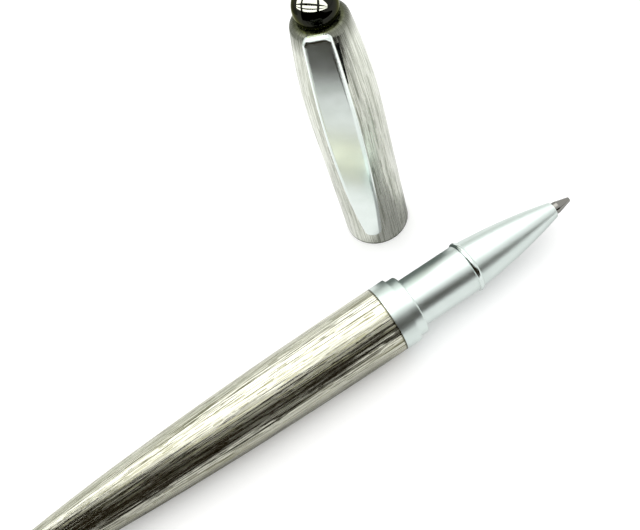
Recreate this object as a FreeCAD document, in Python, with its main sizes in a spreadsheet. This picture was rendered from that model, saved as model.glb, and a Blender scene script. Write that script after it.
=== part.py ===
import FreeCAD, Part
import math
import os
import re
import Sketcher

# A capped rollerball pen with its cap taken off. The pen lies along X with its point
# towards +X, and the cap stands on its open mouth beside it.
# Origin: on the pen's axis, at the shoulder where the cap's mouth stops. +Z is up, and
# both the pen and the cap rest on the plane one body radius below the axis.
# Pen pieces are turned about X. Cap pieces are turned about their own upright axis, with
# the clip towards their own +X, and are then stood in place together.

# Driving sizes, in millimetres and degrees: name, value, meaning.
SIZES = [
    # radii of the pen, from the refill outwards
    ("refill_radius", 2.9, "outside of the refill's tube"),
    ("refill_clearance", 0.2, "gap around the refill in the front section"),
    ("spigot_wall", 0.5, "wall of the sleeve where the nose is pushed on"),
    ("thread_wall", 1.1, "wall of the sleeve under its screw thread"),
    ("grip_wall", 1.33, "wall of the sleeve where fingers hold it"),
    ("thread_clearance", 0.05, "gap between the screw thread and its bushing"),
    ("bushing_wall", 0.95, "wall of the brass bushing in the barrel"),
    ("barrel_wall", 0.8, "wall of the barrel at its mouth"),
    ("register_step", 0.55, "drop from the collar to the band the cap sits on"),
    # lengths of the front section
    ("seam_gap", 0.04, "hairline between collar and barrel"),
    ("collar_length", 2.8, "wide band of the collar"),
    ("register_length", 1.9, "narrow band of the collar"),
    ("register_round", 0.35, "rounding of the narrow band's front edge"),
    ("grip_length", 11.1, "bare sleeve between collar and bead"),
    ("thread_length", 8.0, "screw thread behind the collar"),
    ("spigot_length", 2.5, "sleeve inside the nose, past the bead"),
    ("bead_length", 1.05, "bead ring along the axis"),
    ("bead_radius", 4.77, "bead ring's crest"),
    ("bead_round", 0.35, "height of the bead ring's rounding"),
    ("nose_length", 17.65, "bead ring to the nose's mouth"),
    ("nose_wall", 0.76, "wall of the nose at its back"),
    ("nose_lip", 0.3, "wall of the nose at its mouth"),
    ("nose_bow", 0.385, "how far the nose's side swells past a straight cone"),
    # refill
    ("tip_reach", 3.7, "how far the point stands out of the nose"),
    ("tip_radius", 1.1, "straight part of the metal tip"),
    ("tip_clearance", 0.1, "gap around the tip in the nose's mouth"),
    ("tip_length", 11.65, "metal tip without the ball"),
    ("tip_cone_length", 2.6, "tapered end of the tip"),
    ("tip_rim", 0.05, "lip that holds the ball"),
    ("ball_radius", 0.35, "writing ball"),
    ("ball_clearance", 0.02, "gap around the writing ball"),
    ("ball_proud", 0.15, "how far the ball stands out of the tip"),
    ("ink_channel_radius", 0.2, "bore through the tip"),
    ("tip_socket", 3.0, "tip held in the holder"),
    ("neck_radius", 1.65, "slim front of the tip holder"),
    ("neck_length", 6.3, "slim front of the tip holder"),
    ("seat_gap", 0.05, "gap between the holder's shoulder and its stop"),
    ("neck_end_gap", 0.2, "gap ahead of the holder's neck"),
    ("holder_flange", 2.3, "full-width band of the tip holder"),
    ("holder_spigot", 6.0, "tip holder inside the tube"),
    ("wick_radius", 0.55, "feed wick"),
    ("tube_wall", 0.4, "wall of the refill's tube"),
    ("plug_flange", 1.5, "plug behind the tube"),
    ("plug_spigot", 3.0, "plug inside the tube"),
    # barrel
    ("barrel_length", 79.8, "barrel from mouth to tail"),
    ("tail_cut", 1.2, "length taken off the oval's pointed end"),
    ("tail_round", 0.7, "rounding of the tail's edge"),
    ("tail_wall", 3.3, "solid metal at the tail"),
    ("bushing_length", 9.0, "brass bushing"),
    ("seat_radius", 1.9, "spring seat wedged in the taper"),
    ("seat_length", 2.5, "spring seat"),
    ("peg_radius", 1.0, "peg that centres the spring"),
    ("peg_length", 2.0, "peg that centres the spring"),
    ("spring_length", 9.4, "refill spring as fitted"),
    ("spring_coil", 1.45, "middle of the wire to the axis"),
    ("spring_wire", 0.2, "radius of the spring's wire"),
    ("spring_turns", 8.0, "turns of the refill spring"),
    # cap shell
    ("shoulder_height", 20.0, "curved shoulder, up to the cap's top"),
    ("cap_taper", 0.1, "narrowing over the straight part"),
    ("cap_top_radius", 4.16, "outside of the shell at its top"),
    ("cap_wall", 0.6, "wall of the shell"),
    ("cap_web", 1.4, "top wall around the finial"),
    ("cap_top_round", 1.2, "rounding of the top edge"),
    ("cap_clearance", 0.05, "gap between cap mouth and collar band"),
    ("mouth_depth", 2.4, "wide bore at the cap's mouth"),
    ("slot_width", 4.9, "slot the clip goes through"),
    ("slot_drop", 0.4, "top wall's underside down to the slot"),
    ("slot_height", 6.8, "height of the slot"),
    # inner cap
    ("liner_foot", 10.0, "mouth to the inner cap's lower edge"),
    ("liner_relief", 2.0, "foot of the shoulder down to where the inner cap narrows"),
    ("point_room", 0.9, "gap between the pen's point and the inner cap"),
    ("liner_floor", 1.2, "closed top of the inner cap"),
    ("liner_wall", 0.7, "wall of the inner cap"),
    ("snap_gap", 0.35, "gap between the snap rib and the bead ring"),
    ("snap_length", 0.7, "length of the snap rib"),
    ("snap_depth", 0.22, "how far the rib stands in"),
    ("liner_neck_radius", 4.4, "narrow part of the inner cap"),
    # clip and its works
    ("clip_thickness", 0.95, "clip's strip"),
    ("clip_tip_gap", 0.12, "gap between the clip's end and the shell"),
    ("clip_top_gap", 0.8, "gap between the clip's head and the shell"),
    ("clip_bow", 1.35, "how far the clip bows away from the cap"),
    ("clip_rise", 1.3, "clip's head above the shell"),
    ("clip_foot", 4.6, "height of the clip's lower end"),
    ("clip_width", 5.46, "clip at its widest"),
    ("clip_widest", 31.0, "height where the clip is widest"),
    ("clip_end_radius", 1.6, "round lower end"),
    ("clip_edge_round", 0.6, "rounding of the clip's outer edges"),
    ("clip_head_round", 1.1, "rounding of the head's two corners"),
    ("pin_radius", 0.5, "clip pin"),
    ("pin_clearance", 0.05, "running gap on the clip pin"),
    ("pin_offset", 2.6, "cap axis to the clip pin"),
    ("pin_drop", 4.2, "top wall's underside down to the clip pin"),
    ("pin_length", 5.6, "clip pin"),
    ("lug_width", 3.2, "clip's lug"),
    ("lug_gap", 0.15, "gap beside the lug"),
    ("lug_half_height", 1.4, "lug above and below the pin"),
    ("lug_back", 1.2, "lug behind the pin"),
    ("lever_half_height", 0.8, "lever above and below the pin's level"),
    ("lever_reach", 1.6, "lever past the cap's axis"),
    ("lug_bite", 0.4, "lug run into the clip's strip"),
    ("swing_gap", 0.5, "room for the lug and lever to swing"),
    ("block_height", 11.1, "brass block under the cap's top wall"),
    ("block_floor", 1.0, "block under the clip spring"),
    ("clip_spring_coil", 1.1, "middle of the wire to the axis"),
    ("clip_spring_wire", 0.15, "radius of the clip spring's wire"),
    ("clip_spring_turns", 6.0, "turns of the clip spring"),
    ("pocket_clearance", 0.3, "gap around the clip spring"),
    ("finial_radius", 3.28, "polished ball on top"),
    ("finial_clearance", 0.12, "gap between ball and shell"),
    ("stem_radius", 1.2, "finial's screwed stem"),
    ("stem_length", 2.2, "finial's screwed stem"),
    # where the cap stands
    ("cap_along", 8.45, "cap's axis ahead of the origin"),
    ("cap_aside", 22.3, "cap's axis beside the pen"),
    ("clip_bearing", -120.8, "direction the clip faces, about +Z from +X"),
]

# Sizes that follow from the driving ones: name, formula.
FITS = [
    # radii
    ("section_bore", "refill_radius + refill_clearance"),
    ("spigot_radius", "section_bore + spigot_wall"),
    ("thread_radius", "section_bore + thread_wall"),
    ("grip_radius", "section_bore + grip_wall"),
    ("bushing_bore", "thread_radius + thread_clearance"),
    ("bushing_radius", "bushing_bore + bushing_wall"),
    ("body_radius", "bushing_radius + barrel_wall"),
    ("register_radius", "body_radius - register_step"),
    ("nose_back_radius", "spigot_radius + nose_wall"),
    ("nose_bore", "tip_radius + tip_clearance"),
    ("nose_mouth_radius", "nose_bore + nose_lip"),
    ("neck_bore", "neck_radius + refill_clearance"),
    ("tube_bore", "refill_radius - tube_wall"),
    ("ball_bore", "ball_radius + ball_clearance"),
    ("tip_face_radius", "ball_bore + tip_rim"),
    # stations along the pen
    ("grip_front", "register_length + grip_length"),
    ("nose_back", "grip_front + bead_length"),
    ("spigot_front", "nose_back + spigot_length"),
    ("nose_front", "nose_back + nose_length"),
    ("point", "nose_front + tip_reach"),
    ("tip_front", "point - ball_proud"),
    ("tip_back", "tip_front - tip_length"),
    ("tip_shoulder", "tip_front - tip_cone_length"),
    ("ball_centre", "point - ball_radius"),
    ("ball_floor", "ball_centre - ball_bore"),
    ("neck_front", "tip_back + tip_socket"),
    ("holder_shoulder", "neck_front - neck_length"),
    ("tube_front", "holder_shoulder - holder_flange"),
    ("holder_back", "tube_front - holder_spigot"),
    ("mouth", "-collar_length - seam_gap"),
    ("bushing_back", "mouth - bushing_length"),
    ("tail", "mouth - barrel_length"),
    ("hollow_end", "tail + tail_wall"),
    ("hollow_reach", "bushing_back - hollow_end"),
    ("oval_reach", "barrel_length + tail_cut"),
    ("tail_radius", "body_radius * sqrt(1 - (barrel_length / oval_reach) ^ 2)"),
    ("seat_back", "bushing_back - hollow_reach * sqrt(1 - (seat_radius / bushing_radius) ^ 2)"),
    ("seat_front", "seat_back + seat_length"),
    ("refill_back", "seat_front + spring_length"),
    ("tube_back", "refill_back + plug_flange"),
    ("plug_front", "tube_back + plug_spigot"),
    # curves of the nose and the bead
    ("nose_drop", "nose_back_radius - nose_mouth_radius"),
    ("nose_curve", "(nose_length ^ 2 + nose_drop ^ 2) / (8 * nose_bow) + nose_bow / 2"),
    ("bead_curve", "bead_length ^ 2 / (8 * bead_round) + bead_round / 2"),
    ("bead_shoulder", "bead_radius - bead_round"),
    # cap shell
    ("liner_ceiling", "point + point_room"),
    ("liner_top", "liner_ceiling + liner_floor"),
    ("web_foot", "liner_top + block_height"),
    ("cap_height", "web_foot + cap_web"),
    ("cap_straight", "cap_height - shoulder_height"),
    ("cap_bore", "register_radius + cap_clearance"),
    ("cap_waist", "body_radius - cap_taper"),
    ("liner_radius", "cap_waist - cap_wall"),
    ("shoulder_drop", "cap_waist - cap_top_radius"),
    ("shoulder_curve", "(shoulder_height ^ 2 + shoulder_drop ^ 2) / (2 * shoulder_drop)"),
    ("shoulder_centre", "cap_waist - shoulder_curve"),
    ("inner_curve", "shoulder_curve - cap_wall"),
    ("web_radius", "shoulder_centre + sqrt(inner_curve ^ 2 - (web_foot - cap_straight) ^ 2)"),
    ("finial_height", "web_foot + sqrt(finial_radius ^ 2 - stem_radius ^ 2)"),
    ("finial_waist", "sqrt(finial_radius ^ 2 - (finial_height - cap_height) ^ 2)"),
    ("finial_hole", "finial_waist + finial_clearance"),
    ("stem_foot", "web_foot - stem_length"),
    # inner cap and clip block
    ("liner_bore", "liner_radius - liner_wall + snap_depth"),
    ("snap_top", "grip_front - snap_gap"),
    ("snap_foot", "snap_top - snap_length"),
    ("snap_curve", "snap_length ^ 2 / (8 * snap_depth) + snap_depth / 2"),
    ("liner_neck_bore", "liner_neck_radius - liner_wall"),
    ("liner_wide_top", "cap_straight - liner_relief"),
    ("liner_step", "liner_wide_top - liner_floor"),
    ("block_radius", "shoulder_centre + sqrt(inner_curve ^ 2 - (liner_top - cap_straight) ^ 2)"),
    # slot, pin and spring, hung from the top wall
    ("slot_top", "web_foot - slot_drop"),
    ("slot_foot", "slot_top - slot_height"),
    ("pin_height", "web_foot - pin_drop"),
    ("clip_spring_foot", "liner_top + block_floor"),
    # clip
    ("clip_top", "cap_height + clip_rise"),
    ("clip_top_out", "cap_top_radius + clip_top_gap + clip_thickness"),
    ("clip_foot_out", "body_radius + clip_tip_gap + clip_thickness"),
    ("strip_foot", "clip_foot - clip_end_radius"),
    ("strip_length", "clip_top - strip_foot"),
    ("strip_chord", "sqrt(strip_length ^ 2 + (clip_foot_out - clip_top_out) ^ 2)"),
    ("clip_curve", "strip_chord ^ 2 / (8 * clip_bow) + clip_bow / 2"),
    ("clip_in_curve", "clip_curve - clip_thickness"),
    ("clip_lean", "clip_top_out - clip_foot_out"),
    ("clip_sink", "clip_curve - clip_bow"),
    ("clip_centre_out", "(clip_top_out + clip_foot_out) / 2 - clip_sink * strip_length / strip_chord"),
    ("clip_centre_height", "(clip_top + strip_foot) / 2 + clip_sink * clip_lean / strip_chord"),
    ("clip_shrink", "clip_in_curve / clip_curve"),
    ("clip_top_in", "clip_centre_out + (clip_top_out - clip_centre_out) * clip_shrink"),
    ("clip_top_in_height", "clip_centre_height + (clip_top - clip_centre_height) * clip_shrink"),
    ("clip_foot_in", "clip_centre_out + (clip_foot_out - clip_centre_out) * clip_shrink"),
    ("clip_foot_in_height", "clip_centre_height + (strip_foot - clip_centre_height) * clip_shrink"),
    ("clip_end_height", "clip_foot + clip_end_radius"),
    ("clip_fall", "clip_widest - clip_end_height"),
    ("clip_swell", "clip_width / 2 - clip_end_radius"),
    ("clip_side_curve", "(clip_fall ^ 2 / clip_swell + clip_width / 2 + clip_end_radius) / 2"),
    ("clip_join_share", "clip_end_radius / (clip_side_curve - clip_end_radius)"),
    ("clip_join_aside", "(clip_side_curve - clip_width / 2) * clip_join_share"),
    ("clip_join_height", "clip_end_height - clip_fall * clip_join_share"),
    ("clip_head_rise", "clip_top - clip_widest"),
    ("clip_head_half", "clip_width / 2 - clip_side_curve + sqrt(clip_side_curve ^ 2 - clip_head_rise ^ 2)"),
    ("clip_back_at_pin", "clip_centre_out + sqrt(clip_in_curve ^ 2 - (pin_height - clip_centre_height) ^ 2)"),
    ("lug_front", "clip_back_at_pin + lug_bite"),
    ("lug_heel", "pin_offset - lug_back"),
    ("lug_slot_back", "-lever_reach - swing_gap"),
    ("lug_slot_foot", "pin_height - lug_half_height - swing_gap"),
    ("lug_slot_top", "pin_height + lug_half_height + swing_gap"),
    ("lever_foot", "pin_height - lever_half_height"),
    ("pocket_radius", "clip_spring_coil + clip_spring_wire + pocket_clearance"),
]


doc = FreeCAD.newDocument("capped_rollerball")


def bound(formula, home=""):
    """The formula with each size's name led by its sheet, except names of the home sheet."""
    sheets = {name: "Sizes" for name, value, meaning in SIZES}
    sheets.update({name: "Fits" for name, text in FITS})

    def led(match):
        word = match.group(0)
        sheet = sheets.get(word, home)
        return word if sheet == home else sheet + "." + word

    return re.sub("[a-z_]+", led, formula)


def fill_sheets():
    sizes = doc.addObject("Spreadsheet::Sheet", "Sizes")
    for row, (name, value, meaning) in enumerate(SIZES, start=1):
        sizes.set("A%d" % row, name)
        sizes.set("B%d" % row, str(value))
        sizes.set("C%d" % row, meaning)
        sizes.setAlias("B%d" % row, name)
    doc.recompute()
    fits = doc.addObject("Spreadsheet::Sheet", "Fits")
    for row, (name, formula) in enumerate(FITS, start=1):
        fits.set("A%d" % row, name)
        fits.setAlias("B%d" % row, name)
        fits.set("B%d" % row, "=" + bound(formula, "Fits"))
    doc.recompute()
    return sizes


def value(formula):
    """What a formula of named sizes comes to."""
    return float(sheet.evalExpression(bound(formula)))


def new_body(label):
    body = doc.addObject("PartDesign::Body", label)
    body.Label = label
    return body


def new_sketch(body, name, plane):
    sketch = body.newObject("Sketcher::SketchObject", name)
    support = [item for item in body.Origin.OriginFeatures if item.Role == plane]
    sketch.AttachmentSupport = [(support[0], "")]
    sketch.MapMode = "FlatFace"
    return sketch


def fix_distance(sketch, kind, geometry, place, formula):
    """Hold a point's distance from the sketch's origin along one axis."""
    if formula == "0":
        axis = {"DistanceX": -2, "DistanceY": -1}[kind]
        sketch.addConstraint(Sketcher.Constraint("PointOnObject", geometry, place, axis))
        return
    constraint = Sketcher.Constraint(kind, -1, 1, geometry, place, value(formula))
    index = sketch.addConstraint(constraint)
    sketch.setExpression("Constraints[%d]" % index, bound(formula))


def fix_point(sketch, geometry, place, corner):
    fix_distance(sketch, "DistanceX", geometry, place, corner[0])
    fix_distance(sketch, "DistanceY", geometry, place, corner[1])


def line(corner):
    return {"to": corner}


def arc(corner, radius, swell):
    """A round stretch to a corner, swelling in the direction of the vector swell."""
    return {"to": corner, "radius": radius, "swell": swell}


def half_round(corner, radius, swell, middle):
    """A half circle to a corner; middle is the centre's distance along the swell's axis."""
    return {"to": corner, "radius": radius, "swell": swell, "middle": middle}


def oval(corner, centre, reach, girth):
    """A quarter oval to a corner: centre on the axis, half lengths along and across it."""
    return {"to": corner, "centre": centre, "reach": reach, "girth": girth}


def add_line(sketch, start, end):
    segment = Part.LineSegment(FreeCAD.Vector(*start, 0), FreeCAD.Vector(*end, 0))
    return sketch.addGeometry(segment, False), 1, 2


def add_arc(sketch, start, end, step):
    """Add the minor arc between two points, and say which of its ends is which."""
    radius = value(step["radius"])
    along = (end[0] - start[0], end[1] - start[1])
    chord = math.hypot(*along)
    left = (-along[1] / chord, along[0] / chord)
    side = 1 if left[0] * step["swell"][0] + left[1] * step["swell"][1] > 0 else -1
    sink = side * math.sqrt(max(radius ** 2 - (chord / 2) ** 2, 0))
    centre_x = (start[0] + end[0]) / 2 - left[0] * sink
    centre_y = (start[1] + end[1]) / 2 - left[1] * sink
    first, last = (end, start) if side == 1 else (start, end)
    angle = math.atan2(first[1] - centre_y, first[0] - centre_x)
    stop = math.atan2(last[1] - centre_y, last[0] - centre_x)
    if stop <= angle:
        stop += 2 * math.pi
    circle = Part.Circle(FreeCAD.Vector(centre_x, centre_y, 0), FreeCAD.Vector(0, 0, 1), radius)
    index = sketch.addGeometry(Part.ArcOfCircle(circle, angle, stop), False)
    if "middle" in step:
        fix_distance(sketch, "DistanceX" if step["swell"][0] else "DistanceY", index, 3, step["middle"])
    else:
        held = sketch.addConstraint(Sketcher.Constraint("Radius", index, radius))
        sketch.setExpression("Constraints[%d]" % held, bound(step["radius"]))
    return (index, 2, 1) if side == 1 else (index, 1, 2)


def add_oval(sketch, start, end, step):
    """Add part of an oval that lies along the sketch's first axis."""
    middle = value(step["centre"])
    reach = value(step["reach"])
    girth = value(step["girth"])
    centre = FreeCAD.Vector(middle, 0, 0)
    ellipse = Part.Ellipse(centre + FreeCAD.Vector(reach, 0, 0), centre + FreeCAD.Vector(0, girth, 0), centre)
    ends = [math.atan2(point[1] / girth, (point[0] - middle) / reach) for point in (start, end)]
    index = sketch.addGeometry(Part.ArcOfEllipse(ellipse, min(ends), max(ends)), False)
    sketch.exposeInternalGeometry(index)
    long_axis = index + 1
    fix_point(sketch, index, 3, (step["centre"], "0"))
    sketch.addConstraint(Sketcher.Constraint("Horizontal", long_axis))
    return (index, 1, 2) if ends[0] < ends[1] else (index, 2, 1)


def draw(sketch, start, steps):
    """Draw a closed outline from a corner through lines, arcs and ovals, back to it."""
    pieces = []
    corner = start
    for step in steps + [line(start)]:
        here = (value(corner[0]), value(corner[1]))
        there = (value(step["to"][0]), value(step["to"][1]))
        if "radius" in step:
            pieces.append(add_arc(sketch, here, there, step))
        elif "centre" in step:
            pieces.append(add_oval(sketch, here, there, step))
        else:
            pieces.append(add_line(sketch, here, there))
        corner = step["to"]
    corners = [start] + [step["to"] for step in steps]
    for number, (index, head, tail) in enumerate(pieces):
        before = pieces[number - 1]
        sketch.addConstraint(Sketcher.Constraint("Coincident", before[0], before[2], index, head))
        fix_point(sketch, index, head, corners[number])


def draw_circle(sketch, corner, radius):
    centre = FreeCAD.Vector(value(corner[0]), value(corner[1]), 0)
    circle = Part.Circle(centre, FreeCAD.Vector(0, 0, 1), value(radius))
    index = sketch.addGeometry(circle, False)
    held = sketch.addConstraint(Sketcher.Constraint("Radius", index, value(radius)))
    sketch.setExpression("Constraints[%d]" % held, bound(radius))
    fix_point(sketch, index, 3, corner)


def draw_box(sketch, low, high):
    corners = [(high[0], low[1]), high, (low[0], high[1])]
    draw(sketch, low, [line(corner) for corner in corners])


# Turned outlines are given as (station along the axis, radius); OUT is away from the axis.
OUT = (0, 1)
IN = (0, -1)


def swapped(pair):
    return (pair[1], pair[0])


def turned(label, start, steps, upright=False):
    """A body turned from a half outline: about X, or about Z for a piece of the cap."""
    body = new_body(label)
    sketch = new_sketch(body, label + "_outline", "XZ_Plane" if upright else "XY_Plane")
    if upright:
        start = swapped(start)
        steps = [dict(step, to=swapped(step["to"])) for step in steps]
        steps = [dict(step, swell=swapped(step["swell"])) if "swell" in step else step for step in steps]
    draw(sketch, start, steps)
    doc.recompute()
    feature = body.newObject("PartDesign::Revolution", label + "_turned")
    feature.Profile = (sketch, [""])
    feature.ReferenceAxis = (sketch, ["V_Axis" if upright else "H_Axis"])
    feature.Angle = 360
    doc.recompute()
    return body


def ring(label, back, front, bore, radius, upright=False):
    """A plain turned sleeve, or a rod where its bore is 0."""
    steps = [line((back, radius)), line((front, radius)), line((front, bore))]
    return turned(label, (back, bore), steps, upright)


def sweep_depth(feature, depth, symmetric, backwards):
    feature.Length = value(depth)
    feature.setExpression("Length", bound(depth))
    feature.SideType = "Symmetric" if symmetric else "One side"
    feature.Reversed = backwards


def pad(body, sketch, depth, symmetric=True):
    feature = body.newObject("PartDesign::Pad", sketch.Name + "_pad")
    feature.Profile = (sketch, [""])
    sweep_depth(feature, depth, symmetric, False)
    doc.recompute()
    return feature


def pocket(body, sketch, depth, symmetric=True, backwards=False):
    """Cut a sketch out of a body, and make sure that it took something away."""
    before = body.Shape.Volume
    feature = body.newObject("PartDesign::Pocket", sketch.Name + "_cut")
    feature.Profile = (sketch, [""])
    sweep_depth(feature, depth, symmetric, backwards)
    doc.recompute()
    if body.Shape.Volume > before - 1e-6:
        raise RuntimeError(sketch.Name + " cuts nothing")
    return feature


def groove(body, sketch):
    """Cut a sketch turned about the upright axis out of a body."""
    before = body.Shape.Volume
    feature = body.newObject("PartDesign::Groove", sketch.Name + "_cut")
    feature.Profile = (sketch, [""])
    feature.ReferenceAxis = (sketch, ["V_Axis"])
    feature.Angle = 360
    doc.recompute()
    if body.Shape.Volume > before - 1e-6:
        raise RuntimeError(sketch.Name + " cuts nothing")
    return feature


def round_edges(body, chosen, radius):
    """Fillet the edges of a body that a test picks."""
    tip = body.Tip
    names = ["Edge%d" % number for number, edge in enumerate(tip.Shape.Edges, start=1) if chosen(edge)]
    feature = body.newObject("PartDesign::Fillet", body.Label + "_rounded_" + radius)
    feature.Base = (tip, names)
    feature.setExpression("Radius", bound(radius))
    doc.recompute()
    return feature


def rim(station, radius, upright=False):
    """A test that picks the round edge at a station and radius."""
    place, size = value(station), value(radius)

    def chosen(edge):
        if edge.Degenerated or not isinstance(edge.Curve, Part.Circle):
            return False
        centre = edge.Curve.Center.z if upright else edge.Curve.Center.x
        return abs(centre - place) < 1e-4 and abs(edge.Curve.Radius - size) < 1e-4

    return chosen


def coil(label, foot, head, middle, wire, turns, upright=False):
    """A helical spring of round wire between two seats."""
    body = new_body(label)
    sketch = new_sketch(body, label + "_wire", "XZ_Plane" if upright else "XY_Plane")
    start = ("%s + %s" % (foot, wire), middle)
    draw_circle(sketch, swapped(start) if upright else start, wire)
    doc.recompute()
    feature = body.newObject("PartDesign::AdditiveHelix", label + "_coil")
    feature.Profile = (sketch, [""])
    feature.ReferenceAxis = (sketch, ["V_Axis" if upright else "H_Axis"])
    feature.Mode = "height-turns-angle"
    feature.setExpression("Height", bound("%s - %s - 2 * %s" % (head, foot, wire)))
    feature.setExpression("Turns", bound(turns))
    doc.recompute()
    return body


sheet = fill_sheets()

# The barrel's pieces

def make_barrel_shell():
    """Drawn metal tube: a long half oval outside, a shorter one inside."""
    shell = turned("barrel_shell", ("mouth", "bushing_radius"), [
        line(("mouth", "body_radius")),
        oval(("tail", "tail_radius"), "mouth", "oval_reach", "body_radius"),
        line(("tail", "0")),
        line(("hollow_end", "0")),
        oval(("bushing_back", "bushing_radius"), "bushing_back", "hollow_reach", "bushing_radius"),
    ])
    round_edges(shell, rim("tail", "tail_radius"), "tail_round")
    return shell


def make_barrel_bushing():
    """Brass bushing that takes the section's screw thread."""
    return ring("barrel_bushing", "bushing_back", "mouth", "bushing_bore", "bushing_radius")


def make_spring_seat():
    """Plug wedged in the taper, with a peg that centres the spring."""
    return turned("spring_seat", ("seat_back", "0"), [
        line(("seat_back", "seat_radius")),
        line(("seat_front", "seat_radius")),
        line(("seat_front", "peg_radius")),
        line(("seat_front + peg_length", "peg_radius")),
        line(("seat_front + peg_length", "0")),
    ])


# The refill's pieces

def make_refill_tube():
    return ring("refill_tube", "tube_back", "tube_front", "tube_bore", "refill_radius")


def make_refill_plug():
    return turned("refill_plug", ("refill_back", "0"), [
        line(("refill_back", "refill_radius")),
        line(("tube_back", "refill_radius")),
        line(("tube_back", "tube_bore")),
        line(("plug_front", "tube_bore")),
        line(("plug_front", "0")),
    ])


def make_ink_reservoir():
    return ring("ink_reservoir", "plug_front", "holder_back", "0", "tube_bore")


def make_feed_wick():
    return ring("feed_wick", "holder_back", "tip_back", "0", "wick_radius")


def make_tip_holder():
    """Moulded holder: spigot in the tube, full-width band, then a slim neck."""
    return turned("tip_holder", ("holder_back", "wick_radius"), [
        line(("holder_back", "tube_bore")),
        line(("tube_front", "tube_bore")),
        line(("tube_front", "refill_radius")),
        line(("holder_shoulder", "refill_radius")),
        line(("holder_shoulder", "neck_radius")),
        line(("neck_front", "neck_radius")),
        line(("neck_front", "tip_radius")),
        line(("tip_back", "tip_radius")),
        line(("tip_back", "wick_radius")),
    ])


def make_refill_tip():
    """Turned metal tip: straight shank, cone, and the socket that holds the ball."""
    return turned("refill_tip", ("tip_back", "ink_channel_radius"), [
        line(("tip_back", "tip_radius")),
        line(("tip_shoulder", "tip_radius")),
        line(("tip_front", "tip_face_radius")),
        line(("tip_front", "ball_bore")),
        line(("ball_floor", "ball_bore")),
        line(("ball_floor", "ink_channel_radius")),
    ])


def make_writing_ball():
    back = "ball_centre - ball_radius"
    return turned("writing_ball", (back, "0"), [half_round(("point", "0"), "ball_radius", OUT, "0")])


# The front section's pieces

def make_section_sleeve():
    """Turned sleeve: screw thread at the back, bare grip, spigot for bead and nose."""
    back = "-collar_length - thread_length"
    return turned("section_sleeve", (back, "section_bore"), [
        line((back, "thread_radius")),
        line(("-collar_length", "thread_radius")),
        line(("-collar_length", "grip_radius")),
        line(("grip_front", "grip_radius")),
        line(("grip_front", "spigot_radius")),
        line(("spigot_front", "spigot_radius")),
        line(("spigot_front", "section_bore")),
    ])


def make_collar_ring():
    """Stepped collar pressed on the sleeve; the cap's mouth slides over its narrow band."""
    collar = turned("collar_ring", ("-collar_length", "grip_radius"), [
        line(("-collar_length", "body_radius")),
        line(("0", "body_radius")),
        line(("0", "register_radius")),
        line(("register_length", "register_radius")),
        line(("register_length", "grip_radius")),
    ])
    round_edges(collar, rim("register_length", "register_radius"), "register_round")
    return collar


def make_bead_ring():
    """Half-round ring between sleeve and nose, which the cap's rib snaps behind."""
    return turned("bead_ring", ("grip_front", "spigot_radius"), [
        line(("grip_front", "bead_shoulder")),
        arc(("nose_back", "bead_shoulder"), "bead_curve", OUT),
        line(("nose_back", "spigot_radius")),
    ])


def make_nose_cone():
    """Swelling cone pushed on the sleeve; its inner step stops the refill."""
    step = "holder_shoulder + seat_gap"
    neck_end = "neck_front + neck_end_gap"
    return turned("nose_cone", ("nose_back", "spigot_radius"), [
        line(("nose_back", "nose_back_radius")),
        arc(("nose_front", "nose_mouth_radius"), "nose_curve", OUT),
        line(("nose_front", "nose_bore")),
        line((neck_end, "nose_bore")),
        line((neck_end, "neck_bore")),
        line((step, "neck_bore")),
        line((step, "section_bore")),
        line(("spigot_front", "section_bore")),
        line(("spigot_front", "spigot_radius")),
    ])


# The cap's pieces

def make_cap_shell():
    """Drawn shell: nearly straight wall, curved shoulder, top wall, and the clip's slot."""
    shell = turned("cap_shell", ("0", "cap_bore"), [
        line(("0", "body_radius")),
        line(("cap_straight", "cap_waist")),
        arc(("cap_height", "cap_top_radius"), "shoulder_curve", OUT),
        line(("cap_height", "finial_hole")),
        line(("web_foot", "finial_hole")),
        line(("web_foot", "web_radius")),
        arc(("cap_straight", "liner_radius"), "inner_curve", OUT),
        line(("mouth_depth", "liner_radius")),
        line(("mouth_depth", "cap_bore")),
    ], upright=True)
    round_edges(shell, rim("cap_height", "cap_top_radius", upright=True), "cap_top_round")
    slot = new_sketch(shell, "clip_slot", "YZ_Plane")
    draw_box(slot, ("-slot_width / 2", "slot_foot"), ("slot_width / 2", "slot_top"))
    pocket(shell, slot, "body_radius", symmetric=False, backwards=True)
    return shell


def make_inner_cap():
    """Moulded liner that closes round the nose, with a rib that snaps behind the bead."""
    return turned("inner_cap", ("liner_foot", "liner_bore"), [
        line(("liner_foot", "liner_radius")),
        line(("liner_wide_top", "liner_radius")),
        line(("liner_wide_top", "liner_neck_radius")),
        line(("liner_top", "liner_neck_radius")),
        line(("liner_top", "0")),
        line(("liner_ceiling", "0")),
        line(("liner_ceiling", "liner_neck_bore")),
        line(("liner_step", "liner_neck_bore")),
        line(("liner_step", "liner_bore")),
        line(("snap_top", "liner_bore")),
        arc(("snap_foot", "liner_bore"), "snap_curve", IN),
    ], upright=True)


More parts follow.
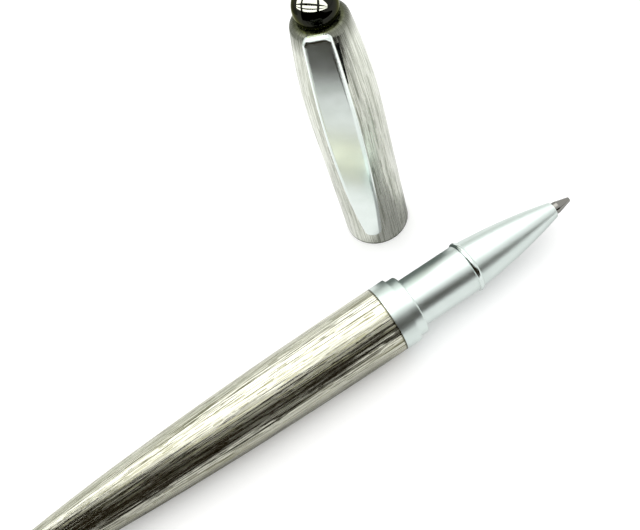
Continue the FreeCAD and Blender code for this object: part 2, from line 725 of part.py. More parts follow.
def make_clip_block():
    """Brass block under the cap's top: it holds the pin, the spring and the finial."""
    block = turned("clip_block", ("liner_top", "0"), [
        line(("liner_top", "block_radius")),
        arc(("web_foot", "web_radius"), "inner_curve", OUT),
        line(("web_foot", "0")),
    ], upright=True)
    slot = new_sketch(block, "lug_slot", "XZ_Plane")
    draw_box(slot, ("lug_slot_back", "lug_slot_foot"), ("body_radius", "lug_slot_top"))
    pocket(block, slot, "lug_width + 2 * lug_gap")
    hole = new_sketch(block, "pin_hole", "XZ_Plane")
    draw_circle(hole, ("pin_offset", "pin_height"), "pin_radius")
    pocket(block, hole, "2 * body_radius")
    well = new_sketch(block, "spring_pocket", "XZ_Plane")
    draw_box(well, ("0", "clip_spring_foot"), ("pocket_radius", "lug_slot_foot + swing_gap"))
    groove(block, well)
    thread = new_sketch(block, "stem_hole", "XZ_Plane")
    draw_box(thread, ("0", "lug_slot_top - swing_gap"), ("stem_radius", "web_foot"))
    groove(block, thread)
    return block


def make_clip_pin():
    pin = new_body("clip_pin")
    sketch = new_sketch(pin, "pin_section", "XZ_Plane")
    draw_circle(sketch, ("pin_offset", "pin_height"), "pin_radius")
    doc.recompute()
    pad(pin, sketch, "pin_length")
    return pin


def make_finial():
    """Polished ball on a screwed stem, which holds the block in the cap's top."""
    return turned("finial_ball", ("stem_foot", "0"), [
        line(("stem_foot", "stem_radius")),
        line(("web_foot", "stem_radius")),
        arc(("finial_height + finial_radius", "0"), "finial_radius", OUT),
    ], upright=True)


# The clip: a bowed strip, narrow at both ends, with a lug and lever behind its head

RIGHT = (1, 0)
LEFT = (-1, 0)
DOWN = (0, -1)


def strip_side(body):
    """The strip seen from its side: two arcs about one centre."""
    sketch = new_sketch(body, "strip_side", "XZ_Plane")
    draw(sketch, ("clip_foot_out", "strip_foot"), [
        arc(("clip_top_out", "clip_top"), "clip_curve", RIGHT),
        line(("clip_top_in", "clip_top_in_height")),
        arc(("clip_foot_in", "clip_foot_in_height"), "clip_in_curve", RIGHT),
    ])
    return sketch


def strip_front(body):
    """What is cut away round the strip's front outline, with swelling sides and a round end."""
    sketch = new_sketch(body, "strip_front", "YZ_Plane")
    side, low, high = "2 * body_radius", "clip_foot - body_radius", "clip_top + body_radius"
    draw_box(sketch, ("-" + side, low), (side, high))
    above = "clip_top + clip_thickness"
    draw(sketch, ("-clip_head_half", above), [
        line(("-clip_head_half", "clip_top")),
        arc(("-clip_join_aside", "clip_join_height"), "clip_side_curve", LEFT),
        arc(("clip_join_aside", "clip_join_height"), "clip_end_radius", DOWN),
        arc(("clip_head_half", "clip_top"), "clip_side_curve", RIGHT),
        line(("clip_head_half", above)),
    ])
    return sketch


def lug_side(body):
    """The lug that goes through the slot, and the lever that the spring pushes up."""
    sketch = new_sketch(body, "lug_side", "XZ_Plane")
    low, high = "pin_height - lug_half_height", "pin_height + lug_half_height"
    lever_head = "pin_height + lever_half_height"
    draw(sketch, ("-lever_reach", "lever_foot"), [
        line(("lug_heel", "lever_foot")),
        line(("lug_heel", low)),
        line(("lug_front", low)),
        line(("lug_front", high)),
        line(("lug_heel", high)),
        line(("lug_heel", lever_head)),
        line(("-lever_reach", lever_head)),
    ])
    return sketch


def head_corner(edge):
    """Picks the two short edges through the strip at the head's corners."""
    ends = [vertex.Point for vertex in edge.Vertexes]
    if len(ends) != 2:
        return False
    high = min(end.z for end in ends) > value("clip_top_in_height") - 0.01
    through = abs(ends[0].y - ends[1].y) < value("clip_thickness") / 10
    return high and through


def strip_face_edge(edge):
    """Picks the edges all round the strip's outer face."""
    out = [value("clip_centre_out"), value("clip_centre_height"), value("clip_curve")]
    spots = [edge.valueAt(edge.FirstParameter + share * (edge.LastParameter - edge.FirstParameter))
             for share in (0.1, 0.5, 0.9)]
    return all(abs(math.hypot(spot.x - out[0], spot.z - out[1]) - out[2]) < 1e-3 for spot in spots)


def make_clip():
    clip = new_body("clip_blade")
    pad(clip, strip_side(clip), "2 * body_radius")
    pocket(clip, strip_front(clip), "4 * body_radius")
    round_edges(clip, head_corner, "clip_head_round")
    round_edges(clip, strip_face_edge, "clip_edge_round")
    pad(clip, lug_side(clip), "lug_width")
    hole = new_sketch(clip, "lug_hole", "XZ_Plane")
    draw_circle(hole, ("pin_offset", "pin_height"), "pin_radius + pin_clearance")
    pocket(clip, hole, "2 * lug_width")
    return clip


def stand_on_mouth(body):
    """Place a cap piece: cap's axis upright beside the pen, clip turned to its bearing."""
    body.Placement = FreeCAD.Placement(FreeCAD.Vector(), FreeCAD.Rotation(FreeCAD.Vector(0, 0, 1), 1))
    body.setExpression("Placement.Base.x", bound("cap_along"))
    body.setExpression("Placement.Base.y", bound("cap_aside"))
    body.setExpression("Placement.Base.z", bound("-body_radius"))
    body.setExpression("Placement.Rotation.Angle", bound("clip_bearing"))


PEN_PIECES = [
    make_barrel_shell(),
    make_barrel_bushing(),
    make_spring_seat(),
    coil("refill_spring", "seat_front", "refill_back", "spring_coil", "spring_wire", "spring_turns"),
    make_refill_tube(),
    make_refill_plug(),
    make_ink_reservoir(),
    make_feed_wick(),
    make_tip_holder(),
    make_refill_tip(),
    make_writing_ball(),
    make_section_sleeve(),
    make_collar_ring(),
    make_bead_ring(),
    make_nose_cone(),
]
CAP_PIECES = [
    make_cap_shell(),
    make_inner_cap(),
    make_clip_block(),
    make_clip_pin(),
    coil("clip_spring", "clip_spring_foot", "lever_foot", "clip_spring_coil", "clip_spring_wire",
         "clip_spring_turns", upright=True),
    make_finial(),
    make_clip(),
]
for piece in CAP_PIECES:
    stand_on_mouth(piece)
doc.recompute()

failed = [item.Label for item in doc.Objects if {"Invalid", "Error"} & set(item.State)]
if failed:
    raise RuntimeError("failed objects: " + ", ".join(failed))
for piece in PEN_PIECES + CAP_PIECES:
    shape = piece.Shape
    if shape.isNull() or not shape.isValid() or len(shape.Solids) != 1:
        raise RuntimeError(piece.Label + " is not one valid solid")

os.makedirs("parts", exist_ok=True)
for piece in PEN_PIECES + CAP_PIECES:
    piece.Shape.exportStep(os.path.join("parts", piece.Label + ".step"))
    box = piece.Shape.BoundBox
    print("%-16s %9.2f mm3  X %7.2f..%6.2f  Y %6.2f..%6.2f  Z %6.2f..%6.2f" % (
        piece.Label, piece.Shape.Volume, box.XMin, box.XMax, box.YMin, box.YMax, box.ZMin, box.ZMax))
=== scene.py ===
import math

import bpy
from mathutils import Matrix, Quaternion, Vector


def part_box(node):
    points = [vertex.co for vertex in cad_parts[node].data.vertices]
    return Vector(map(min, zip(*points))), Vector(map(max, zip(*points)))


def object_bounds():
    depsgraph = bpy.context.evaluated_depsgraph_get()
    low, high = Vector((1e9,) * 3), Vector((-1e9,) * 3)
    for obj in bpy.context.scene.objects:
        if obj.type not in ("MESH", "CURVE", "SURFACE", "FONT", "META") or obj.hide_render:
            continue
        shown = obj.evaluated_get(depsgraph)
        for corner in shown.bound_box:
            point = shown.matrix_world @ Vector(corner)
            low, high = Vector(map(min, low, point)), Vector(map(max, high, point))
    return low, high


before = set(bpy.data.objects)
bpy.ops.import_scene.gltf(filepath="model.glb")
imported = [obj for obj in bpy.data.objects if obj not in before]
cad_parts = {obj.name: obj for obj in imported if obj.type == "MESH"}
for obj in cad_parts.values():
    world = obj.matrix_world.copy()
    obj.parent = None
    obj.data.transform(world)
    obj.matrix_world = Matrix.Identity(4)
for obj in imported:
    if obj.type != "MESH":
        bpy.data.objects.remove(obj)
cad_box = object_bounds()
scene = bpy.context.scene
scene.view_settings.view_transform = "Standard"


# Camera: a hand's breadth over the pen, looking steeply down across it at the foot of the
# cap, and rolled so that the pen runs from corner to corner.
MM = 0.001
eye = Vector((-17.6, -50.8, 107.3)) * MM
aim = Vector((-6.1, 20.2, -6.0)) * MM
camera_roll = math.radians(-25.17)
camera_data = bpy.data.cameras.new("camera")
camera_data.lens = 39.4
camera_data.sensor_width = 36
camera_data.clip_start = 0.005
camera = bpy.data.objects.new("camera", camera_data)
camera.location = eye
camera.rotation_mode = "QUATERNION"
level = (aim - eye).to_track_quat("-Z", "Y")
camera.rotation_quaternion = level @ Quaternion((0, 0, 1), camera_roll)
scene.collection.objects.link(camera)
scene.camera = camera


# Table: a plain white top that the pen and the cap rest on. It shows as pure white, keeps
# the soft shadow under them, and the metal mirrors it. Far away it is white all over.
def add(tree, kind, inputs=None, **settings):
    """A node with its settings and the starting values of its inputs."""
    node = tree.nodes.new(kind)
    for name, setting in settings.items():
        setattr(node, name, setting)
    for name, start in (inputs or {}).items():
        node.inputs[name].default_value = start
    return node


def new_material(name):
    """An empty material, its node tree, and the socket that its shader goes to."""
    material = bpy.data.materials.new(name)
    material.use_nodes = True
    tree = material.node_tree
    tree.nodes.clear()
    return material, tree, add(tree, "ShaderNodeOutputMaterial").inputs["Surface"]


def feed(tree, socket, value):
    """Links a socket to another one, or sets it to a number."""
    if isinstance(value, bpy.types.NodeSocket):
        tree.links.new(value, socket)
    else:
        socket.default_value = value


def combined(tree, operation, *values):
    """Sockets or numbers put together by one sum."""
    node = add(tree, "ShaderNodeMath", operation=operation)
    for socket, value in zip(node.inputs, values):
        feed(tree, socket, value)
    return node.outputs[0]


def seen_directly_or_mirrored(tree):
    """1 for what the eye, a mirror or glass sees, and 0 for light that spreads."""
    path = add(tree, "ShaderNodeLightPath").outputs
    first = combined(tree, "MAXIMUM", path["Is Camera Ray"], path["Is Glossy Ray"])
    return combined(tree, "MAXIMUM", first, path["Is Transmission Ray"])


def ramp(tree, value, low, high, low_to=0.0, high_to=1.0):
    """A value spread from one range to another, and held at its ends."""
    node = add(tree, "ShaderNodeMapRange")
    for socket, part in zip(node.inputs, (value, low, high, low_to, high_to)):
        feed(tree, socket, part)
    return node.outputs[0]


def new_piece(name, corners, faces):
    """A mesh of flat faces, linked to the scene."""
    mesh = bpy.data.meshes.new(name)
    mesh.from_pydata(corners, [], faces)
    mesh.update()
    piece = bpy.data.objects.new(name, mesh)
    scene.collection.objects.link(piece)
    return piece


table_half = 1.5
table_height = cad_box[0][2]
table_lift = 0.18
far_start = 0.2
far_end = 0.8
table_corners = [
    (-table_half, -table_half, table_height),
    (table_half, -table_half, table_height),
    (table_half, table_half, table_height),
    (-table_half, table_half, table_height),
]
table = new_piece("table_top", table_corners, [(0, 1, 2, 3)])
table_white, tree, surface = new_material("table_white")
paint = add(tree, "ShaderNodeBsdfDiffuse", {"Color": (0.86, 0.86, 0.86, 1)})
glow = add(tree, "ShaderNodeEmission", {"Color": (1, 1, 1, 1)})
both = add(tree, "ShaderNodeAddShader")
lift = combined(tree, "MULTIPLY", seen_directly_or_mirrored(tree), table_lift)
from_middle = add(tree, "ShaderNodeVectorMath", operation="LENGTH")
tree.links.new(add(tree, "ShaderNodeTexCoord").outputs["Object"], from_middle.inputs[0])
seen_directly = add(tree, "ShaderNodeLightPath").outputs["Is Camera Ray"]
far_white = ramp(tree, from_middle.outputs["Value"], far_start, far_end)
far_white = combined(tree, "MULTIPLY", far_white, seen_directly)
tree.links.new(combined(tree, "ADD", lift, far_white), glow.inputs["Strength"])
tree.links.new(paint.outputs[0], both.inputs[0])
tree.links.new(glow.outputs[0], both.inputs[1])
tree.links.new(both.outputs[0], surface)
table.data.materials.append(table_white)


# Room: plain white walls and ceiling, which show as white wherever they are seen or
# mirrored, and send a soft fill from all round.
room_fill = 0.45
room = bpy.data.worlds.new("room")
room.use_nodes = True
room.cycles.sampling_method = "NONE"
scene.world = room
tree = room.node_tree
tree.nodes.clear()
sky = add(tree, "ShaderNodeBackground", {"Color": (1, 1, 1, 1)})
strength = ramp(tree, seen_directly_or_mirrored(tree), 0, 1, room_fill, 1)
tree.links.new(strength, sky.inputs["Strength"])
tree.links.new(sky.outputs[0], add(tree, "ShaderNodeOutputWorld").inputs["Surface"])


# Lamp: one large softbox overhead, a little to the far side of the table. Its lamp lights
# the table, and its white cloth, brightest along the middle, is what the metal mirrors.
cloth_white = 1.6
cloth_core = 2.5
cloth_edge = 1.3
core_starts = (-0.22, 0.0)
core_ends = (0.52, 0.75)
cloth_centre = Vector((0.0, 0.25, 0.6))
cloth_long = 1.3
cloth_wide = 1.1


def mirrored_card(name, corners, faces):
    """A card on the stage that only mirrors see, and its material's tree and glow."""
    card = new_piece(name, corners, faces)
    card.visible_camera = False
    card.visible_diffuse = False
    card.visible_shadow = False
    card.visible_transmission = False
    material, tree, surface = new_material(name)
    material.cycles.emission_sampling = "NONE"
    glow = add(tree, "ShaderNodeEmission")
    tree.links.new(glow.outputs[0], surface)
    card.data.materials.append(material)
    return tree, glow


def object_place(tree):
    """The X, Y and Z of a point of the surface, in its object's own frame."""
    split = add(tree, "ShaderNodeSeparateXYZ")
    tree.links.new(add(tree, "ShaderNodeTexCoord").outputs["Object"], split.inputs[0])
    return split.outputs


softbox_data = bpy.data.lights.new("softbox", "AREA")
softbox_data.shape = "RECTANGLE"
softbox_data.size = cloth_long
softbox_data.size_y = cloth_wide
softbox_data.energy = cloth_white * math.pi * cloth_long * cloth_wide
softbox = bpy.data.objects.new("softbox", softbox_data)
softbox.location = cloth_centre
softbox.visible_glossy = False
scene.collection.objects.link(softbox)
cloth_half = Vector((cloth_long / 2, cloth_wide / 2, 0))
cloth_sides = [(-1, -1, 0), (-1, 1, 0), (1, 1, 0), (1, -1, 0)]
cloth_corners = [cloth_centre + cloth_half * Vector(side) for side in cloth_sides]
tree, glow = mirrored_card("softbox_cloth", cloth_corners, [(0, 1, 2, 3)])
across = object_place(tree)["Y"]
near_core = ramp(tree, across, *core_starts, cloth_edge, cloth_core)
far_core = ramp(tree, across, *core_ends, cloth_core, cloth_edge)
tree.links.new(combined(tree, "MINIMUM", near_core, far_core), glow.inputs["Strength"])


# Cards: a dark flag curved round the near side of the pen, high at the tail and low at
# the point, and a grey card behind. They give the metal its dark bands. The flag shows in
# the first mirror that meets it, and not in a mirror's mirror.
def standing(line):
    """The corners and faces of an upright card along (x, y, foot, top) points."""
    count = len(line)
    corners = [(x * MM, y * MM, foot * MM) for x, y, foot, top in line]
    corners += [(x * MM, y * MM, top * MM) for x, y, foot, top in line]
    return corners, [(i, i + 1, i + 1 + count, i + count) for i in range(count - 1)]


def seen_through(tree, glow, share):
    """Lets a card be seen through by a share that a socket gives."""
    clear = add(tree, "ShaderNodeBsdfTransparent")
    mix = add(tree, "ShaderNodeMixShader")
    tree.links.new(share, mix.inputs[0])
    tree.links.new(glow.outputs[0], mix.inputs[1])
    tree.links.new(clear.outputs[0], mix.inputs[2])
    tree.links.new(mix.outputs[0], tree.nodes["Material Output"].inputs["Surface"])


flag_line = [
    (-98, 30, -6, 150),
    (-95, -12, -6, 170),
    (-75, -26, -6, 135),
    (-43, -34, -6, 82),
    (-10, -38, -6, 72),
    (0, -42, 0, 60),
    (10, -42, 4, 54),
    (22, -40, 4, 40),
    (45, -38, 4, 29),
    (72, -32, 2, 12),
]
tree, glow = mirrored_card("dark_flag", *standing(flag_line))
glow.inputs["Color"].default_value = (0.020, 0.015, 0.008, 1)
mirrored_twice = ramp(tree, add(tree, "ShaderNodeLightPath").outputs["Ray Depth"], 1.4, 1.6)
seen_through(tree, glow, mirrored_twice)
grey_line = [(-170, 100, -6, 40), (0, 120, -6, 40), (130, 110, -6, 40)]
tree, glow = mirrored_card("grey_card", *standing(grey_line))
glow.inputs["Color"].default_value = (0.55, 0.58, 0.53, 1)


# Close shade: what metal mirrors of the table close to the near side of the pen and
# round the cap's foot, where little light gets in.
shade_height = table_height + 0.05 * MM
shade_sides = [(-92, -38), (46, -38), (46, 37), (-92, 37)]
shade_corners = [(x * MM, y * MM, shade_height) for x, y in shade_sides]
tree, glow = mirrored_card("close_shade", shade_corners, [(0, 1, 2, 3)])
pen_radius = 6 * MM
under_pen = -4 * MM
far_side_end = 5 * MM
dark_turn = -6 * MM
open_turn = -8 * MM
under_barrel = 0.08
under_grip = 0.66
beside_barrel = 0.92
beside_grip = 1.2
barrel_shade_end = -16 * MM
grip_shade_end = -9 * MM
along_pen, across_pen, _ = object_place(tree)
darkest = ramp(tree, along_pen, dark_turn, 0, under_barrel, under_grip)
open_table = ramp(tree, along_pen, open_turn, 0, beside_barrel, beside_grip)
shade_end = ramp(tree, along_pen, open_turn, 0, barrel_shade_end, grip_shade_end)
near_side = ramp(tree, across_pen, under_pen, shade_end, darkest)
near_side = combined(tree, "MINIMUM", near_side, open_table)
by_pen = combined(tree, "MAXIMUM", near_side, ramp(tree, across_pen, 0, far_side_end))

# Round the cap's foot the shade is a band that fades out a little way from the wall. It
# reaches from the cap's axis to the pen.
cap_low, cap_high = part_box("cap_shell")
cap_axis = (cap_low + cap_high) / 2
cap_radius = (cap_high.x - cap_low.x) / 2
foot_shade = 2.5 * MM
foot_shade_shift = 2.5 * MM
by_foot = 0.38
nearest = add(tree, "ShaderNodeCombineXYZ", {"X": cap_axis.x + foot_shade_shift, "Z": shade_height})
between = ramp(tree, across_pen, pen_radius, cap_axis.y, pen_radius, cap_axis.y)
tree.links.new(between, nearest.inputs["Y"])
from_cap = add(tree, "ShaderNodeVectorMath", operation="DISTANCE")
tree.links.new(add(tree, "ShaderNodeTexCoord").outputs["Object"], from_cap.inputs[0])
tree.links.new(nearest.outputs[0], from_cap.inputs[1])
by_cap = ramp(tree, from_cap.outputs["Value"], cap_radius, cap_radius + foot_shade, by_foot, 1)
tree.links.new(combined(tree, "MINIMUM", by_pen, by_cap), glow.inputs["Strength"])


# Cap's shade: the dark near side of the cap as the grip mirrors it. It is seen from the
# pen alone, and the cap looks through its back.
shade_line = [(-0.5, 11, -6, 7), (14, 11, -6, 7)]
tree, glow = mirrored_card("cap_shade", *standing(shade_line))
glow.inputs["Color"].default_value = (0.10, 0.12, 0.11, 1)
seen_through(tree, glow, add(tree, "ShaderNodeNewGeometry").outputs["Backfacing"])


# Window: nine panes in a tilted frame, which light the polished ball alone. The ball
# mirrors them, with the dark bars of the frame between. Their edges are shares of the
# window's distance from the ball.
window_bearing = math.radians(-140)
window_rise = math.radians(40)
window_away = 35 * MM
window_columns = [(-3.2, -1.05), (-0.72, 0.61), (0.94, 7.0)]
window_rows = [(-0.44, -0.26), (-0.16, 0.04), (0.21, 1.0)]
pane_white = 55
ball_low, ball_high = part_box("finial_ball")
ball_centre = Vector((cap_axis.x, cap_axis.y, ball_high.z - (ball_high.x - ball_low.x) / 2))
ball_alone = bpy.data.collections.new("finial_ball_alone")
ball_alone.objects.link(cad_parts["finial_ball"])
window_side = Vector((-math.sin(window_bearing), math.cos(window_bearing), 0))
window_out = Vector((window_side.y, -window_side.x, 0)) * math.cos(window_rise)
window_out.z = math.sin(window_rise)
window_up = window_out.cross(window_side)
for left, right in window_columns:
    for foot, head in window_rows:
        pane_data = bpy.data.lights.new("window_pane", "AREA")
        pane_data.shape = "RECTANGLE"
        pane_data.size = window_away * (right - left)
        pane_data.size_y = window_away * (head - foot)
        pane_data.energy = pane_white * math.pi * pane_data.size * pane_data.size_y
        pane = bpy.data.objects.new("window_pane", pane_data)
        middle = window_out + window_side * (left + right) / 2 + window_up * (foot + head) / 2
        pane.location = ball_centre + middle * window_away
        pane.rotation_euler = window_out.to_track_quat("Z", "Y").to_euler()
        pane.visible_camera = False
        pane.light_linking.receiver_collection = ball_alone
        scene.collection.objects.link(pane)


# Barrel shell: a long half oval of drawn brass tube, nickel plated, then brushed
# lengthwise, so that fine lines run from end to end. At its mouth a thin shade is painted.
def new_group(name, inputs, outputs):
    """A shader group, with its input node and its output node."""
    group = bpy.data.node_groups.new(name, "ShaderNodeTree")
    for label, kind, start in inputs:
        socket = group.interface.new_socket(label, in_out="INPUT", socket_type=kind)
        socket.default_value = start
    for label, kind in outputs:
        group.interface.new_socket(label, in_out="OUTPUT", socket_type=kind)
    return group, add(group, "NodeGroupInput"), add(group, "NodeGroupOutput")


def chance(tree, *places):
    """A chance value from 0 to 1, the same wherever the places are the same."""
    spot = add(tree, "ShaderNodeCombineXYZ")
    for socket, value in zip(spot.inputs, places):
        feed(tree, socket, value)
    noise = add(tree, "ShaderNodeTexWhiteNoise", noise_dimensions="3D")
    tree.links.new(spot.outputs[0], noise.inputs["Vector"])
    return noise.outputs["Value"]


def lines_round(tree, along, turn, count, length):
    """Straight lines side by side round the piece, each with its chance value.

    A line fades to the middle value at both its ends.
    """
    most_shift = 60
    end_share = 0.12
    lane = combined(tree, "FLOOR", combined(tree, "MULTIPLY", turn, count))
    start = combined(tree, "MULTIPLY", chance(tree, lane, count, 0), most_shift)
    place = combined(tree, "MULTIPLY_ADD", along, 1 / length, start)
    value = chance(tree, lane, count, combined(tree, "FLOOR", place))
    fade = ramp(tree, combined(tree, "PINGPONG", place, 0.5), 0, end_share)
    return combined(tree, "MULTIPLY_ADD", combined(tree, "SUBTRACT", value, 0.5), fade, 0.5)


def weighed(tree, *parts):
    """The sum of values, each with its weight."""
    total = 0.0
    for value, weight in parts:
        total = combined(tree, "MULTIPLY_ADD", value, weight, total)
    return total


brushing, group_in, group_out = new_group(
    "lengthwise_brushing",
    [("Along", "NodeSocketFloat", 0), ("Turn", "NodeSocketFloat", 0)],
    [("Lean", "NodeSocketFloat"), ("Shade", "NodeSocketFloat"), ("Dulling", "NodeSocketFloat")],
)
place = (group_in.outputs["Along"], group_in.outputs["Turn"])
hairs = lines_round(brushing, *place, count=311, length=6 * MM)
strokes = lines_round(brushing, *place, count=241, length=10 * MM)
rubs = lines_round(brushing, *place, count=271, length=8 * MM)
nicks = lines_round(brushing, *place, count=151, length=2.4 * MM)
darkest_tone = 0.22
brightest_tone = 0.56
nick_starts = 0.955
nick_full = 0.97
nick_tone = 0.25
lean = weighed(brushing, (hairs, 1), (strokes, 1))
brushing.links.new(combined(brushing, "SUBTRACT", lean, 1), group_out.inputs["Lean"])
tone = weighed(brushing, (hairs, 0.55), (strokes, 0.45))
tone = ramp(brushing, tone, darkest_tone, brightest_tone)
nicked = ramp(brushing, nicks, nick_starts, nick_full, 1, nick_tone)
brushing.links.new(combined(brushing, "MULTIPLY", tone, nicked), group_out.inputs["Shade"])
brushing.links.new(ramp(brushing, rubs, 0.45, 0.95), group_out.inputs["Dulling"])


def round_axis(tree, axis, centre):
    """Where a point of a turned piece lies: its distance along the axis, and its turn."""
    here = add(tree, "ShaderNodeTexCoord").outputs["Object"]
    moved = add(tree, "ShaderNodeVectorMath", {1: centre}, operation="SUBTRACT")
    split = add(tree, "ShaderNodeSeparateXYZ")
    first, second, third = ("X", "Y", "Z") if axis == "X" else ("Z", "X", "Y")
    tree.links.new(here, moved.inputs[0])
    tree.links.new(moved.outputs[0], split.inputs[0])
    angle = combined(tree, "ARCTAN2", split.outputs[second], split.outputs[third])
    return split.outputs[first], combined(tree, "DIVIDE", angle, math.tau)


def leant(tree, axis, lean, most):
    """The surface's normal, leant sideways to the axis by a share of the most it leans."""
    direction = (1, 0, 0) if axis == "X" else (0, 0, 1)
    settings = {"vector_type": "VECTOR", "convert_from": "OBJECT", "convert_to": "WORLD"}
    along = add(tree, "ShaderNodeVectorTransform", {0: direction}, **settings).outputs[0]
    normal = add(tree, "ShaderNodeNewGeometry").outputs["Normal"]
    sideways = add(tree, "ShaderNodeVectorMath", operation="CROSS_PRODUCT")
    shift = add(tree, "ShaderNodeVectorMath", operation="SCALE")
    total = add(tree, "ShaderNodeVectorMath", operation="ADD")
    unit = add(tree, "ShaderNodeVectorMath", operation="NORMALIZE")
    tree.links.new(along, sideways.inputs[0])
    tree.links.new(normal, sideways.inputs[1])
    tree.links.new(sideways.outputs[0], shift.inputs[0])
    tree.links.new(combined(tree, "MULTIPLY", lean, most), shift.inputs["Scale"])
    tree.links.new(normal, total.inputs[0])
    tree.links.new(shift.outputs[0], total.inputs[1])
    tree.links.new(total.outputs[0], unit.inputs[0])
    return unit.outputs[0]


def place_group(tree, group, sources):
    """A shared group in a material, with its inputs linked."""
    node = add(tree, "ShaderNodeGroup", node_tree=group)
    for name, source in sources.items():
        tree.links.new(source, node.inputs[name])
    return node


def blended(tree, share, first, second):
    """Two colours, mixed by a share of the second."""
    mix = add(tree, "ShaderNodeMix", data_type="RGBA")
    for socket, value in ((mix.inputs[0], share), (mix.inputs[6], first), (mix.inputs[7], second)):
        feed(tree, socket, value)
    return mix.outputs[2]


def brushed_nickel(name, axis, centre, dull, bright, most_lean):
    """Brushed plate round an axis. Its colour is left to be linked to its shader."""
    brushed_roughness = 0.22
    rubbed_roughness = 0.62
    material, tree, surface = new_material(name)
    shader = add(tree, "ShaderNodeBsdfPrincipled", {"Metallic": 1.0})
    along, turn = round_axis(tree, axis, centre)
    lines = place_group(tree, brushing, {"Along": along, "Turn": turn})
    colour = blended(tree, lines.outputs["Shade"], dull, bright)
    roughness = ramp(tree, lines.outputs["Dulling"], 0, 1, brushed_roughness, rubbed_roughness)
    tree.links.new(roughness, shader.inputs["Roughness"])
    tree.links.new(leant(tree, axis, lines.outputs["Lean"], most_lean), shader.inputs["Normal"])
    tree.links.new(shader.outputs[0], surface)
    return material, tree, shader, colour


def finish(names, material):
    """Give CAD nodes their material."""
    for name in names:
        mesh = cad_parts[name].data
        mesh.materials.clear()
        mesh.materials.append(material)


nickel_dull = (0.27, 0.265, 0.17, 1)
nickel_bright = (0.72, 0.72, 0.61, 1)
# Painted shade: a thin dark band at the mouth, standing in for the shade of the seam to the collar.
mouth_painted_shade = (0.10, 0.10, 0.06, 1)
mouth_shade_fade = 0.35 * MM
mouth_shade_edge = 0.12 * MM
barrel_nickel, tree, shader, colour = brushed_nickel(
    "brushed_nickel_barrel", "X", (0, 0, 0), nickel_dull, nickel_bright, most_lean=0.30
)
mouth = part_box("barrel_shell")[1].x
# The painted seam shade, mixed into the colour at the mouth.
edge = ramp(tree, object_place(tree)["X"], mouth - mouth_shade_fade, mouth - mouth_shade_edge)
tree.links.new(blended(tree, edge, colour, mouth_painted_shade), shader.inputs["Base Color"])
finish(["barrel_shell"], barrel_nickel)


# Cap shell: the same tube, drawn in at its top and slotted for the clip. Its lines run
# from mouth to top. Round the seat of the ball a dark reflection and shade of the ball are
# painted, and at its foot's edge a thin contact shadow is painted.
cap_dull = (0.40, 0.42, 0.35, 1)
cap_bright = (0.70, 0.72, 0.64, 1)
cap_painted_shade = (0.05, 0.055, 0.03, 1)
cap_nickel, tree, shader, colour = brushed_nickel(
    "brushed_nickel_cap", "Z", (cap_axis.x, cap_axis.y, 0), cap_dull, cap_bright, most_lean=0.09
)
# Painted shade: the ball's dark reflection and shade, round its seat.
ball_shade_fade = 6.6 * MM
ball_shade_edge = 3.6 * MM
# Painted contact shadow: a thin dark band at the foot's edge, where the cap meets the table.
foot_shadow_fade = cap_low.z + 0.45 * MM
foot_shadow_edge = cap_low.z + 0.15 * MM
foot_shadow_share = 0.85
ball_seat = (cap_axis.x, cap_axis.y, cap_high.z + 1 * MM)
from_seat = add(tree, "ShaderNodeVectorMath", {1: ball_seat}, operation="DISTANCE")
tree.links.new(add(tree, "ShaderNodeTexCoord").outputs["Object"], from_seat.inputs[0])
seat = ramp(tree, from_seat.outputs["Value"], ball_shade_fade, ball_shade_edge)
foot = ramp(tree, object_place(tree)["Z"], foot_shadow_fade, foot_shadow_edge, 0, foot_shadow_share)
shaded = combined(tree, "MAXIMUM", seat, foot)
tree.links.new(blended(tree, shaded, colour, cap_painted_shade), shader.inputs["Base Color"])
finish(["cap_shell"], cap_nickel)


# Grip, collar and nose: turned brass, blasted with fine beads and then chrome plated,
# which leaves an even satin. The nose sits on the grip's front end.
def grainy(tree, place, size, detail):
    """Noise with grains of one size."""
    scaled = add(tree, "ShaderNodeVectorMath", {1: (1 / size, 1 / size, 1 / size)}, operation="MULTIPLY")
    noise = add(tree, "ShaderNodeTexNoise", {"Scale": 1.0, "Detail": detail, "Roughness": 0.6})
    tree.links.new(place, scaled.inputs[0])
    tree.links.new(scaled.outputs[0], noise.inputs["Vector"])
    return noise.outputs["Fac"]


blasting, group_in, group_out = new_group(
    "fine_blasting",
    [("Place", "NodeSocketVector", (0, 0, 0))],
    [("Height", "NodeSocketFloat"), ("Cloud", "NodeSocketFloat")],
)
place = group_in.outputs["Place"]
blasting.links.new(grainy(blasting, place, 0.12 * MM, 1), group_out.inputs["Height"])
blasting.links.new(grainy(blasting, place, 4 * MM, 2), group_out.inputs["Cloud"])
chrome_low = (0.66, 0.74, 0.70, 1)
chrome_high = (0.77, 0.84, 0.81, 1)


def satin_chrome(name, smooth, depth, low, high):
    """Blasted chrome, so smooth and with grains so deep, between two colours."""
    material, tree, surface = new_material(name)
    shader = add(tree, "ShaderNodeBsdfPrincipled", {"Metallic": 1.0})
    grain = place_group(tree, blasting, {"Place": add(tree, "ShaderNodeTexCoord").outputs["Object"]})
    colour = blended(tree, grain.outputs["Cloud"], low, high)
    tree.links.new(colour, shader.inputs["Base Color"])
    roughness = ramp(tree, grain.outputs["Cloud"], 0.3, 0.7, smooth + 0.03, smooth - 0.03)
    tree.links.new(roughness, shader.inputs["Roughness"])
    bump = add(tree, "ShaderNodeBump", {"Strength": 1.0, "Distance": depth})
    tree.links.new(grain.outputs["Height"], bump.inputs["Height"])
    tree.links.new(bump.outputs[0], shader.inputs["Normal"])
    tree.links.new(shader.outputs[0], surface)
    return material


grip_chrome = satin_chrome("satin_chrome", 0.36, 0.003 * MM, chrome_low, chrome_high)
finish(["section_sleeve", "collar_ring", "nose_cone"], grip_chrome)


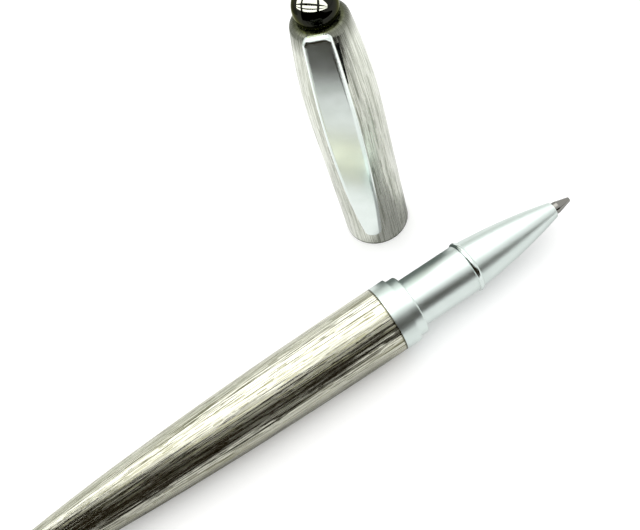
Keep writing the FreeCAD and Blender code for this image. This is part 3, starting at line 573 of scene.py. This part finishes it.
# Bead ring: a narrow turned ring, held between the grip and the nose, that the cap snaps
# over. It has the same plate, worn smoother.
bead_chrome = satin_chrome("satin_chrome_bead", 0.20, 0.001 * MM, chrome_low, chrome_high)
finish(["bead_ring"], bead_chrome)


# Clip: a pressed and bent brass blade, hinged on a pin inside the cap. Its plate is paler
# and smoother than the grip's.
clip_low = (0.78, 0.86, 0.81, 1)
clip_high = (0.87, 0.93, 0.90, 1)
clip_chrome = satin_chrome("satin_chrome_clip", 0.22, 0.0003 * MM, clip_low, clip_high)
finish(["clip_blade"], clip_chrome)


# Refill tip: nickel silver bar, turned bright to a shank and a cone, and pressed into the
# refill's plastic holder.
def bright_metal(name, colour, smooth, edge=(1, 1, 1, 1)):
    """Bare or polished metal with faint smears."""
    starts = {"Metallic": 1.0, "Base Color": colour, "Specular Tint": edge}
    material, tree, surface = new_material(name)
    shader = add(tree, "ShaderNodeBsdfPrincipled", starts)
    smear = grainy(tree, add(tree, "ShaderNodeTexCoord").outputs["Object"], 1.2 * MM, 3)
    tree.links.new(ramp(tree, smear, 0.4, 0.7, smooth, smooth + 0.05), shader.inputs["Roughness"])
    tree.links.new(shader.outputs[0], surface)
    return material


finish(["refill_tip"], bright_metal("nickel_silver", (0.26, 0.255, 0.235, 1), 0.03))


# Finial ball: turned in one with its screw stem, polished, and plated in black chrome,
# which is paler and warmer at a grazing look.
black_plate = (0.022, 0.0225, 0.019, 1)
black_plate_edge = (0.66, 0.67, 0.52, 1)
finish(["finial_ball"], bright_metal("black_chrome", black_plate, 0.02, black_plate_edge))


# Writing ball: a ground carbide ball, held loose in the rolled lip of the refill's tip.
# It carries the ink to the paper.
finish(["writing_ball"], bright_metal("carbide", (0.14, 0.14, 0.15, 1), 0.12))


# Metal works inside: the brass bushing with the screw thread, the wound springs and the
# clip's pin. The block under the clip is blackened, because it shows through the slot.
finish(["barrel_bushing"], bright_metal("brass", (0.78, 0.58, 0.30, 1), 0.22))
finish(["clip_block"], bright_metal("blackened_brass", (0.03, 0.03, 0.03, 1), 0.35))
spring_steel = bright_metal("spring_steel", (0.60, 0.60, 0.60, 1), 0.18)
finish(["refill_spring", "clip_spring", "clip_pin"], spring_steel)


# Plastic works inside: the cap's moulded liner, the spring's seat, the refill's tube, plug
# and tip holder, and the fibre store and wick that hold its ink.
def moulded(name, colour):
    """Matt plastic or fibre with a fine grain."""
    material, tree, surface = new_material(name)
    shader = add(tree, "ShaderNodeBsdfPrincipled", {"Base Color": colour})
    grain = grainy(tree, add(tree, "ShaderNodeTexCoord").outputs["Object"], 0.3 * MM, 2)
    tree.links.new(ramp(tree, grain, 0.3, 0.7, 0.35, 0.5), shader.inputs["Roughness"])
    tree.links.new(shader.outputs[0], surface)
    return material


black_plastic = moulded("black_plastic", (0.02, 0.02, 0.022, 1))
finish(["inner_cap", "spring_seat", "tip_holder", "refill_plug"], black_plastic)
finish(["refill_tube"], moulded("clear_plastic", (0.75, 0.78, 0.80, 1)))
finish(["ink_reservoir", "feed_wick"], moulded("ink_fibre", (0.02, 0.03, 0.12, 1)))
